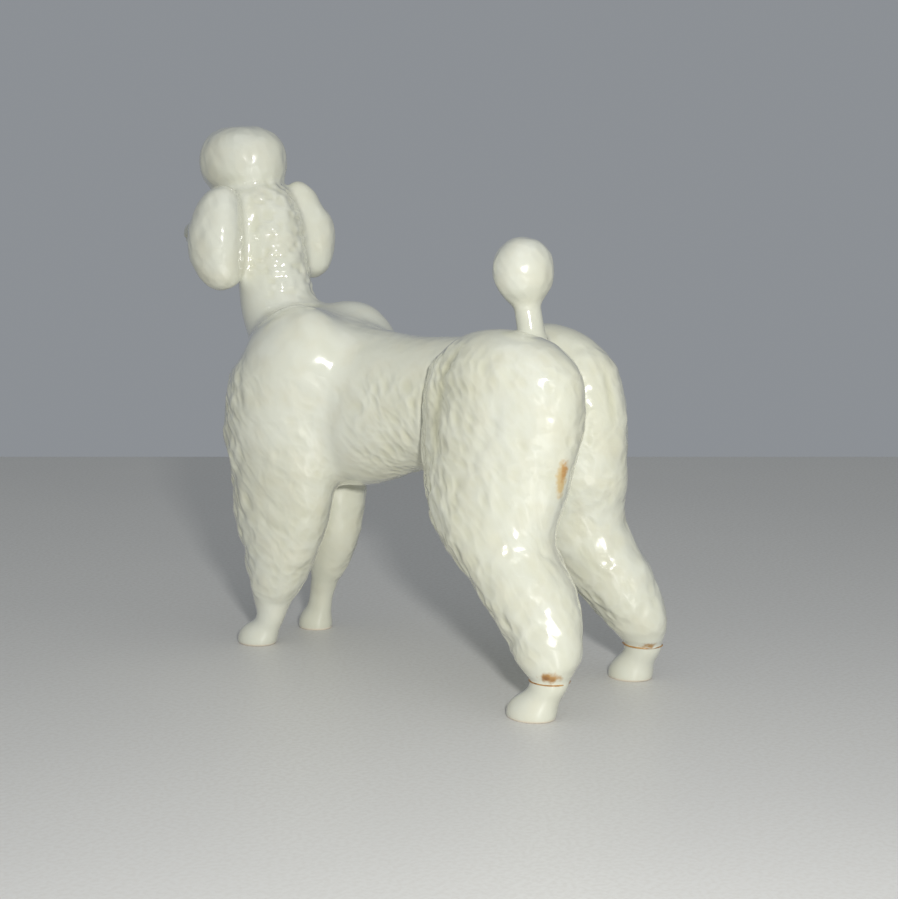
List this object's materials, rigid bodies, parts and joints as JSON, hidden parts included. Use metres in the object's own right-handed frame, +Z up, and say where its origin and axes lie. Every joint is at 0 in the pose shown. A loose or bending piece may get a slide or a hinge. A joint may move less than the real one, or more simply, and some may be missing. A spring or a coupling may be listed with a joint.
{
  "type": "ceramic dog figurine",
  "caption": "Standing glazed ceramic poodle figurine in a pompom clip, head turned slightly to its right; stands on its own flat paw soles.",
  "frame": {"origin": "on the table under the middle of the figure's bounding box", "axes": "+Z up; the dog faces -Y; its left side is +X; the tail is towards +Y"},
  "size_m": [0.0534, 0.1514, 0.1371],
  "materials": {
    "cream_glaze": "glossy warm-white glaze over slip-cast earthenware, thin on ridges and creamier where it pools",
    "old_adhesive": "aged yellow-brown household adhesive, dull gloss"
  },
  "bodies": {
    "root": {"torso": "cream_glaze", "neck": "cream_glaze", "head": "cream_glaze", "topknot": "cream_glaze", "left_ear": "cream_glaze", "right_ear": "cream_glaze", "left_foreleg": "cream_glaze", "right_foreleg": "cream_glaze", "left_hind_leg": "cream_glaze", "right_hind_leg": "cream_glaze", "left_hind_paw": "cream_glaze", "right_hind_paw": "cream_glaze", "left_hind_glue": "old_adhesive", "right_hind_glue": "old_adhesive", "tail_stem": "cream_glaze", "tail_pompom": "cream_glaze"}
  },
  "joints": []
}
